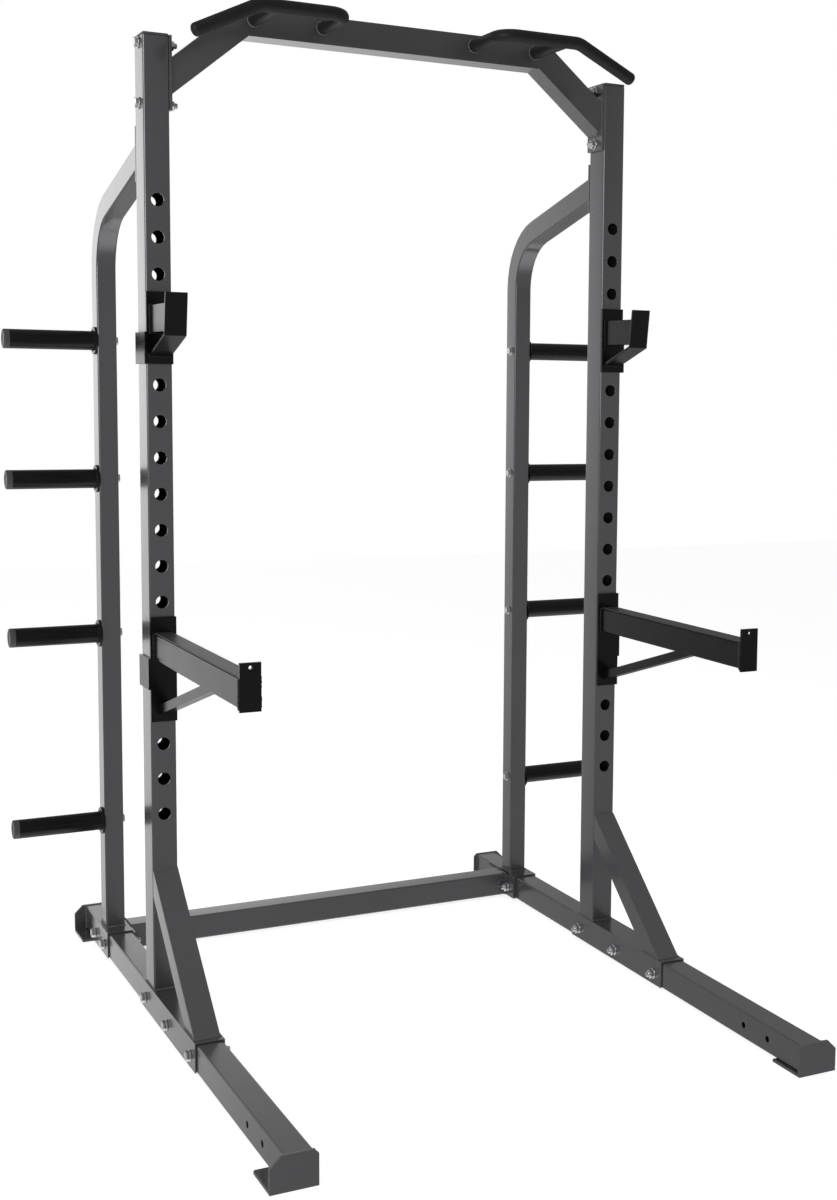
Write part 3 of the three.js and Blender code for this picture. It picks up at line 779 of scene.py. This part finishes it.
@dataclass
class SideFrame:
    """Base rail, feet, saddles, upright, brace and rear post of one side."""

    side: Side
    shop: PaintShop
    beads: BeadJig
    edges: dict[str, Edging] = field(
        default_factory=lambda: {
            "base_rail": TUBE_EDGE,
            "foot_front": PLATE_EDGE,
            "foot_rear": PLATE_EDGE,
            "front_saddle": FOLD_EDGE,
            "rear_saddle": FOLD_EDGE,
            "front_upright": TUBE_EDGE,
            "front_brace": BRACE_EDGE,
            "rear_post": TUBE_EDGE,
        }
    )
    bores: dict[str, tuple[int, float]] = field(
        default_factory=lambda: {"base_rail": (1, 3.0), "front_upright": (2, 3.0)}
    )
    brace_angle: float = 40.6
    brace_depth: float = 46.0
    post_joint: float = 1819.1
    post_slice: float = 54.6
    post_depth: float = 53.0
    post_gap: float = 0.3
    flange_front: float = 6.3
    bead_inset: float = 1.6
    bead_sink: float = 0.8

    def build(self) -> None:
        """Makes the tubes and plates, the cap and the welds between them."""
        for base, edging in self.edges.items():
            node = self.side.node(base)
            piece = broken_edge_copy(node, f"painted_{node}", edging)
            # marks the bore faces that the frame paint shows as painted shade
            if base in self.bores:
                mark_bore(piece, *self.bores[base])
            self.shop.dress(piece, Coat.FRAME, "frame", node)
        self.shop.refinish(self.side.node("upright_cap"), "moulded", CAP_EDGE, Coat.CAP)
        self.weld()

    def weld(self) -> None:
        """Lays the painted weld beads of this side."""
        rings = self._foot_rings() + self._post_rings()
        self.beads.lay(self.shop, self.side.node("frame_welds"), rings, Bead(3), Coat.FRAME)

    def _foot_rings(self) -> list[list[Vector]]:
        """Around the rail where it meets each end plate."""
        low, high = self.side.box("base_rail")
        low.z += self.bead_inset * MM
        sink = self.bead_sink * MM
        return [ring(1, y, (low.x, low.z), (high.x, high.z)) for y in (low.y + sink, high.y - sink)]

    def _post_rings(self) -> list[list[Vector]]:
        """Around the upright, the brace and the rear post where they meet the saddles and each other."""
        low, high = self.side.box("front_upright")
        brace_low, brace_high = self.side.box("front_brace")
        post_low, post_high = self.side.box("rear_post")
        inset = self.bead_inset * MM
        angle = math.radians(self.brace_angle)
        drop = self.brace_depth * MM / math.cos(angle)
        run = self.brace_depth * MM / math.sin(angle)
        width = self.side.box("plate_peg_1")
        post_x = abs(width[0].x if self.side.sign > 0 else width[1].x) - self.post_gap * MM
        centre = abs(low.x + high.x) / 2
        half = post_x - centre
        depth = self.post_depth * MM
        joint, slice_half = self.post_joint * MM, self.post_slice * MM / 2
        flange_y = high.y + self.flange_front * MM
        x0, x1 = self.side.sign * centre - half, self.side.sign * centre + half
        return [
            ring(2, low.z, (low.x, low.y), (high.x, high.y)),
            ring(1, low.y, (low.x + inset, brace_high.z - drop), (high.x - inset, brace_high.z - inset)),
            ring(2, brace_low.z, (low.x, brace_low.y), (high.x, brace_low.y + run)),
            ring(2, post_low.z, (x0, post_high.y - depth), (x1, post_high.y)),
            ring(1, flange_y, (x0, joint - slice_half), (x1, joint + slice_half)),
        ]


@dataclass
class PlatePegs:
    """Four weight pegs on a rear post, with the bolts that hold them."""

    side: Side
    shop: PaintShop
    beads: BeadJig
    heads: HeadJig
    diameter: float = 44.0
    length: float = 204.0
    flange: float = 63.0
    thickness: float = 4.0
    cap: float = 13.0
    post_width: float = 44.0
    post_gap: float = 0.3
    washer: float = 1.6

    def build(self) -> None:
        """Makes the pegs, their welds and their bolt heads."""
        bases = []
        for index in range(1, 5):
            node = self.side.node(f"plate_peg_{index}")
            low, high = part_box(node)
            near = low[0] if self.side.sign > 0 else high[0]
            base = Vector((near, (low[1] + high[1]) / 2, (low[2] + high[2]) / 2))
            bases.append(base)
            turning = Turning(self.side.outward)
            turning.shell(base, self._profile())
            self.shop.dress(turning.piece(f"turned_{node}"), Coat.BLACK, "frame", node)
            cap = Turning(self.side.outward)
            cap.shell(base, self._cap_profile())
            self.shop.dress(cap.piece(f"end_cap_{node}"), Coat.CAP, "frame")
        self._weld(bases)
        self._bolt(bases)

    def _profile(self) -> Profile:
        """Outline of a peg from its flange to just inside its end."""
        radius, rim = self.diameter / 2, self.flange / 2
        return [
            (0, 0),
            (rim - 0.5, 0),
            (rim, 0.5),
            (rim, self.thickness - 0.8),
            (rim - 0.8, self.thickness),
            (radius, self.thickness),
            (radius, self.length - self.cap),
            (radius - 1.5, self.length - self.cap),
            (radius - 1.5, self.length - 3),
            (0, self.length - 3),
        ]

    def _cap_profile(self) -> Profile:
        """Outline of the plastic end cap with a rounded rim and a dished end."""
        radius = self.diameter / 2
        start, end = self.length - self.cap + 0.4, self.length
        bend, dish = 3, 0.8
        turns = (0.0, 0.4, 0.8, 1.2, math.pi / 2)
        rim = [(radius + bend * (math.cos(t) - 1), end + bend * (math.sin(t) - 1)) for t in turns]
        hollow = [(radius - 8, end), (radius - 10, end - dish), (0, end - dish)]
        return [(0, start), (radius, start), *rim, *hollow]

    def _weld(self, bases: list[Vector]) -> None:
        """A bead around each peg at its flange."""
        axis = self.side.outward
        radius = self.diameter / 2 * MM
        rings = [circle(base + axis * self.thickness * MM, axis, radius) for base in bases]
        self.beads.lay(self.shop, self.side.node("peg_welds"), rings, Bead(5, 0.0022), Coat.BLACK)

    def _bolt(self, bases: list[Vector]) -> None:
        """A washer and a head on the post's inner face behind each peg."""
        inner = self.post_width + self.post_gap + self.washer / 2
        points = [base - self.side.outward * inner * MM for base in bases]
        piece = path_object(self.side.node("peg_bolts"), [points])
        values = {"Head Radius": 0.0095, "Head Height": 0.0128, "Washer Radius": 0.0115}
        made = self.heads.run(piece, {**values, "Paint": self.shop.pots[Coat.ZINC]})
        shade(made.data, TURNED_CREASE)
        self.shop.dress(made, Coat.ZINC, "frame")


@dataclass
class Hardware:
    """Through bolts with their washers and nuts."""

    side: Side
    shop: PaintShop
    flats: float = 19.0
    head: float = 7.5
    washer: float = 24.0
    plate: float = 2.5
    nut: float = 9.0
    thread: float = 7.0
    shank: float = 12.0

    def build(self) -> None:
        """Makes every through bolt of this side."""
        inward = -self.side.outward
        forward = Vector((0, -1, 0))
        for base, count, way in (
            ("front_base_bolt", 3, inward),
            ("rear_base_bolt", 2, inward),
            ("pullup_bolt", 2, inward),
            ("post_bolt", 2, forward),
        ):
            for index in range(1, count + 1):
                self._bolt(self.side.node(f"{base}_{index}"), way)

    def _bolt(self, node: str, way: Vector) -> None:
        """One bolt from its head to the end of its thread."""
        low, high = (Vector(corner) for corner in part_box(node))
        centre, size = (low + high) / 2, high - low
        length = abs(size.dot(way)) / MM
        start = centre - way * length * MM / 2
        turning = Turning(way)
        head = self.head
        hexagon = [(radius, -along) for radius, along in hexagon_profile(self.flats, head)]
        turning.shell(start + way * head * MM, hexagon, 6)
        turning.shell(start, disc_profile(self.washer, head, self.plate))
        nut_washer = length - self.thread - self.nut - self.plate
        turning.shell(start, disc_profile(self.washer, nut_washer, self.plate))
        nut_base = start + way * (nut_washer + self.plate) * MM
        turning.shell(nut_base, hexagon_profile(self.flats, self.nut), 6)
        turning.shell(start, self._thread_profile(head + self.plate, length), 24)
        self.shop.dress(turning.piece(f"plated_{node}"), Coat.ZINC, "frame", node)

    def _thread_profile(self, start: float, end: float) -> Profile:
        """Shank with thread ridges on its last stretch."""
        radius, pitch = self.shank / 2, 1.75
        ridge_start = end - self.thread + 0.3
        ridges: Profile = []
        turn = 0
        while ridge_start + (turn + 1) * pitch < end - 1.0:
            at = ridge_start + turn * pitch
            ridges += [(radius - 0.7, at), (radius, at + pitch * 0.45), (radius, at + pitch * 0.6)]
            turn += 1
        shank = [(0, start), (radius, start), (radius, ridge_start - 0.2)]
        return [*shank, *ridges, (radius - 1.2, end), (0, end)]


@dataclass
class PinnedBracket:
    """A hook or a spotter arm with its pin, its welds and, on an arm, its wear strip."""

    side: Side
    shop: PaintShop
    beads: BeadJig
    kind: str
    steel: str
    pin_diameter: float = 25.0
    strip: str | None = None
    plate_front: float = 6.8
    end_plate: float = 6.0
    end_inset: float = 1.2

    @property
    def swing(self) -> str:
        """The body that the steelwork turns with."""
        return self.side.node(f"{self.kind}_swing")

    def build(self) -> None:
        """Makes the pin, the steelwork, the strip and the welds."""
        pin = self.side.node(f"{self.kind}_pin")
        low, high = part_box(pin)
        length = (high[1] - low[1]) / MM
        radius = self.pin_diameter / 2
        start = Vector(((low[0] + high[0]) / 2, low[1], (low[2] + high[2]) / 2))
        turning = Turning(Vector((0, 1, 0)))
        taper = [(radius, length - 2.5), (radius - 0.7, length - 1.2), (radius - 2.4, length), (0, length)]
        turning.shell(start, [(0, 0), (radius, 0), *taper], 64)
        slider = self.side.node(f"{self.kind}_slider")
        self.shop.dress(turning.piece(f"ground_{pin}"), Coat.PIN, slider, pin)
        self.shop.refinish(self.side.node(self.steel), "painted", FOLD_EDGE, Coat.BLACK, self.swing)
        if self.strip:
            self.shop.refinish(self.side.node(self.strip), "scuffed", STRIP_EDGE, Coat.STRIP, self.swing)
        self._weld(start)

    def _weld(self, pin: Vector) -> None:
        """Beads where the seat or the tube meets the plate, and at the arm's end plate."""
        rings = [self._ring(pin, pin.y - self.plate_front * MM), *self._end_ring(pin)]
        name = self.side.node(f"{self.kind}_welds")
        self.beads.lay(self.shop, name, rings, Bead(11, 0.0040, 0.0040), Coat.BLACK, self.swing)

    def _section(self) -> tuple[float, float, float]:
        """Half width, top above the pin and bottom below the pin of the welded section."""
        if self.kind == "hook":
            return 20.0, 12.0, 44.0
        return 20.0, 9.0, 45.0

    def _ring(self, pin: Vector, y: float) -> list[Vector]:
        """Corners of the welded section at a distance along Y."""
        half, top, bottom = (value * MM for value in self._section())
        return ring(1, y, (pin.x - half, pin.z - bottom), (pin.x + half, pin.z + top))

    def _end_ring(self, pin: Vector) -> list[list[Vector]]:
        """The bead at the far end of an arm's tube."""
        if self.kind == "hook":
            return []
        low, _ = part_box(self.side.node(self.steel))
        corners = self._ring(pin, low[1] + self.end_plate * MM)
        inset = self.end_inset * MM
        for corner in corners:
            corner.x += inset if corner.x < pin.x else -inset
        return [corners]


@dataclass
class PullupSection:
    """The bent pull-up bar and the two grips in front of it."""

    shop: PaintShop
    beads: BeadJig
    radius: float = 14.0
    inner: float = 176.0
    outer: float = 326.0
    reach: float = 145.0
    corner: float = 38.0
    wing_start: float = 350.0
    wing_angle: float = 26.0
    wing_length: float = 142.0
    wing_bend: float = 45.0
    tip: float = 9.0
    plate_inside: float = 6.0
    bar_half_depth: float = 30.0
    bar_ends: Pair = (1934.7, 2008.6)

    def build(self) -> None:
        """Makes the bar, its welds and both grips."""
        self.shop.refinish("pullup_bar", "painted", FOLD_EDGE, Coat.FRAME)
        for side in SIDES:
            self._grip(side)
        self._weld()

    def _face(self) -> Vector:
        """A point on the middle of the bar's front face, at the grips' height."""
        _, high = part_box("pullup_grip_right")
        return Vector((0, high[1], high[2] - self.radius * MM))

    def _line(self, side: Side) -> list[Vector]:
        """Points along the bent grip's centre line, in metres."""
        face = self._face()
        line_y = face.y - self.reach * MM
        points = [Vector((self.inner, 0, 0)), *self._arc()]
        made = [face + Vector((side.sign * point.x, point.y, point.z)) * MM for point in points]
        knee = Vector((side.sign * self.wing_start * MM, line_y, face.z))
        return made + self._wing(side, knee)

    def _arc(self) -> list[Vector]:
        """The corner from the stem to the grip's front line, in millimetres."""
        centre = (self.inner + self.corner, -self.reach + self.corner)
        turns = [math.pi + step * math.pi / 2 / 12 for step in range(13)]
        return [
            Vector((centre[0] + self.corner * math.cos(turn), centre[1] + self.corner * math.sin(turn), 0))
            for turn in turns
        ]

    def _wing(self, side: Side, knee: Vector) -> list[Vector]:
        """The bend and the sloping free end."""
        angle = math.radians(self.wing_angle)
        points = []
        for step in range(9):
            turn = angle * step / 8
            across, fall = self.wing_bend * math.sin(turn), self.wing_bend * (1 - math.cos(turn))
            points.append(knee + Vector((side.sign * across, 0, -fall)) * MM)
        drop = Vector((side.sign * math.cos(angle), 0, -math.sin(angle)))
        points.append(points[-1] + drop * self.wing_length * MM)
        return points

    def _grip(self, side: Side) -> None:
        """One grip: a round bar along its line with a rounded tip, and its outer stem."""
        node = side.node("pullup_grip")
        line = self._line(side)
        ending = (line[-1] - line[-2]).normalized()
        rounding = [(math.cos(a), 1 - math.sin(a)) for a in (0.0, 0.35, 0.7, 1.05, 1.35)]
        stations = [(point, 1.0) for point in line[:-1]]
        for scale, back in rounding:
            share = 1 - (1 - scale) * self.tip / self.radius
            stations.append((line[-1] - ending * self.tip * back * MM, share))
        shape = bmesh.new()
        self._skin(shape, stations)
        face = self._face()
        stem = Vector((side.sign * self.outer * MM, face.y, face.z))
        self._skin(shape, [(stem, 1.0), (stem + Vector((0, -self.reach * MM, 0)), 1.0)])
        self.shop.dress(closed_piece(shape, f"sleeved_{node}", GRIP_CREASE), Coat.RUBBER, "frame", node)

    def _skin(self, shape: bmesh.types.BMesh, stations: list[tuple[Vector, float]], sides: int = 40) -> None:
        """Adds a closed round skin through stations of a point and a share of the radius."""
        points = [point for point, _ in stations]
        up = Vector((0, 0, 1))
        rings = []
        for index, (point, share) in enumerate(stations):
            before, after = points[max(index - 1, 0)], points[min(index + 1, len(points) - 1)]
            along = (after - before).normalized()
            across = along.cross(up).normalized()
            other = across.cross(along)
            radius = self.radius * share * MM
            rings.append([shape.verts.new(point + arm * radius) for arm in spokes(across, other, sides)])
        for low, high in zip(rings, rings[1:]):
            for step in range(sides):
                following = (step + 1) % sides
                shape.faces.new((low[step], low[following], high[following], high[step]))
        shape.faces.new(rings[0])
        shape.faces.new(rings[-1])

    def _weld(self) -> None:
        """Beads around the stems on the bar and around the bar's ends on their plates."""
        face = self._face()
        rings = [
            circle(Vector((side.sign * x * MM, face.y, face.z)), Vector((0, 1, 0)), self.radius * MM)
            for side in SIDES
            for x in (self.inner, self.outer)
        ]
        low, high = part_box("pullup_bar")
        middle, half = (low[1] + high[1]) / 2, self.bar_half_depth * MM
        bottom, top = (end * MM for end in self.bar_ends)
        for side in SIDES:
            x = side.sign * (high[0] - self.plate_inside * MM)
            rings.append(ring(0, x, (middle - half, bottom), (middle + half, top)))
        self.beads.lay(self.shop, "pullup_welds", rings, Bead(13), Coat.FRAME)


@dataclass
class CrossBeam:
    """The rear cross beam with its end plates."""

    shop: PaintShop
    beads: BeadJig
    depth: float = 58.0
    height: float = 58.0
    bottom: float = 6.0
    plate: float = 5.0
    centre: float = 588.4
    bead_lift: float = 1.4

    def build(self) -> None:
        """Makes the beam and its welds."""
        self.shop.refinish("cross_beam", "painted", FOLD_EDGE, Coat.FRAME)
        _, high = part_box("cross_beam")
        half = self.depth / 2
        low_corner = ((self.centre - half) * MM, (self.bottom + self.bead_lift) * MM)
        high_corner = ((self.centre + half) * MM, (self.bottom + self.height) * MM)
        x = high[0] - self.plate * MM
        rings = [ring(0, side.sign * x, low_corner, high_corner) for side in SIDES]
        self.beads.lay(self.shop, "cross_beam_welds", rings, Bead(17), Coat.FRAME)


# ---- studio


@dataclass
class Studio:
    """Pale floor, soft light and the camera."""

    eye: Point = (-1.424334, -3.350379, 1.350082)
    yaw: float = 0.492873
    pitch: float = -0.101872
    roll: float = 0.013221
    focal: float = 1673.6538
    shift: Pair = (150.0, -40.0)
    long_side: float = 1200.0
    sensor: float = 36.0
    floor_reach: float = 9.0
    front_light: float = 0.30
    back_light: Pair = (1.05, 1.6)
    floor_light: float = 0.75
    flag: Point = (0.38, -0.90, 0.20)

    def build(self) -> None:
        """Sets up the camera, the floor and the light."""
        self._camera()
        self._floor()
        self._world()
        self._lamp("left_softbox", (-3.4, -1.6, 2.4), (-0.2, 0.1, 1.0), (2.2, 2.6), 45.0)
        overhead = self._lamp("top_softbox", (0.0, 0.2, 4.4), (0.0, 0.1, 0.6), (4.0, 3.0), 60.0)
        overhead.visible_glossy = False
        bpy.context.scene.view_settings.view_transform = "Standard"
        LOG.info("studio ready")

    def _camera(self) -> None:
        """Places the camera."""
        data = bpy.data.cameras.new("camera")
        data.sensor_width = self.sensor
        data.lens = self.focal * self.sensor / self.long_side
        data.shift_x = -self.shift[0] / self.long_side
        data.shift_y = self.shift[1] / self.long_side
        data.clip_start, data.clip_end = 0.05, 200.0
        camera = bpy.data.objects.new("camera", data)
        level = math.cos(self.pitch)
        forward = Vector((math.sin(self.yaw) * level, math.cos(self.yaw) * level, math.sin(self.pitch)))
        right = Vector((math.cos(self.yaw), -math.sin(self.yaw), 0.0))
        up = right.cross(forward)
        turned = right * math.cos(self.roll) + up * math.sin(self.roll)
        upright = up * math.cos(self.roll) - right * math.sin(self.roll)
        pose = Matrix((turned, upright, -forward)).transposed().to_4x4()
        pose.translation = Vector(self.eye)
        camera.matrix_world = pose
        bpy.context.scene.collection.objects.link(camera)
        bpy.context.scene.camera = camera

    def _floor(self) -> None:
        """A pale floor that reaches past every view of the rack."""
        mesh = bpy.data.meshes.new("floor")
        reach = self.floor_reach
        corners = [(-reach, -reach, 0), (reach, -reach, 0), (reach, reach, 0), (-reach, reach, 0)]
        mesh.from_pydata(corners, [], [(0, 1, 2, 3)])
        floor = add_object("floor", mesh)
        sheet = PaintSheet("pale_floor")
        tone = sheet.blend(sheet.noise(3.0, 2.0), (0.40, 0.40, 0.40), (0.42, 0.42, 0.42))
        glow = {"Emission_Color": WHITE, "Emission_Strength": 0.84}
        floor.data.materials.append(sheet.finish(Base_Color=tone, Roughness=0.7, **glow))
        floor.visible_glossy = False

    def _world(self) -> None:
        """A room bright behind the rack and underfoot, dim elsewhere, with a dark flag high in front."""
        world = bpy.data.worlds.new("white_room")
        world.use_nodes = True
        sheet = ShaderSheet(world.node_tree)
        way = sheet.node("ShaderNodeTexCoord", output="Generated")
        back = sheet.node("ShaderNodeSeparateXYZ", values={0: way}, output="Y")
        up = sheet.node("ShaderNodeSeparateXYZ", values={0: way}, output="Z")
        band = sheet.span(sheet.ramp(up, -0.12, 0.02), *self.back_light)
        behind = sheet.ramp(back, 0.83, 0.985) * sheet.ramp(up, 0.55, 0.12)
        underfoot = sheet.ramp(up, -0.5, -0.85) * self.floor_light
        ends = {0: way, 1: self.flag}
        to_flag = sheet.node("ShaderNodeVectorMath", {"operation": "DISTANCE"}, ends, "Value")
        shaded = sheet.span(sheet.ramp(to_flag, 0.03, 0.19), 0.05, 1.0)
        light = behind * band + underfoot + shaded * self.front_light
        cast = sheet.node("ShaderNodeBackground", values={"Strength": light})
        seen = sheet.node("ShaderNodeBackground", values={"Color": WHITE, "Strength": 1.0})
        direct = sheet.node("ShaderNodeLightPath", output="Is Camera Ray")
        room = sheet.node("ShaderNodeMixShader", values={0: direct, 1: cast, 2: seen})
        sheet.end(room, "ShaderNodeOutputWorld")
        bpy.context.scene.world = world

    @staticmethod
    def _lamp(name: str, place: Point, target: Point, size: Pair, power: float) -> Piece:
        """A soft rectangular light.

        Args:
            name: the light's name.
            place: where it stands.
            target: where it points.
            size: its width and height in metres.
            power: its power in watts.

        Returns:
            The light.
        """
        data = bpy.data.lights.new(name, "AREA")
        data.shape = "RECTANGLE"
        data.size, data.size_y = size
        data.energy = power
        lamp = bpy.data.objects.new(name, data)
        lamp.location = place
        lamp.rotation_mode = "QUATERNION"
        lamp.rotation_quaternion = (Vector(target) - Vector(place)).to_track_quat("-Z", "Y")
        bpy.context.scene.collection.objects.link(lamp)
        return lamp


# ---- the whole rack


def main() -> None:
    """Builds the studio and every sub-assembly."""
    logging.basicConfig(level=logging.INFO, format="%(name)s: %(message)s")
    Studio().build()
    shop, beads, heads = PaintShop(), BeadJig(), HeadJig()
    for side in SIDES:
        SideFrame(side, shop, beads).build()
        PlatePegs(side, shop, beads, heads).build()
        Hardware(side, shop).build()
        PinnedBracket(side, shop, beads, "hook", "bar_hook").build()
        PinnedBracket(side, shop, beads, "arm", "spotter_arm", strip="arm_liner").build()
    PullupSection(shop, beads).build()
    CrossBeam(shop, beads).build()


if __name__ == "__main__":
    main()
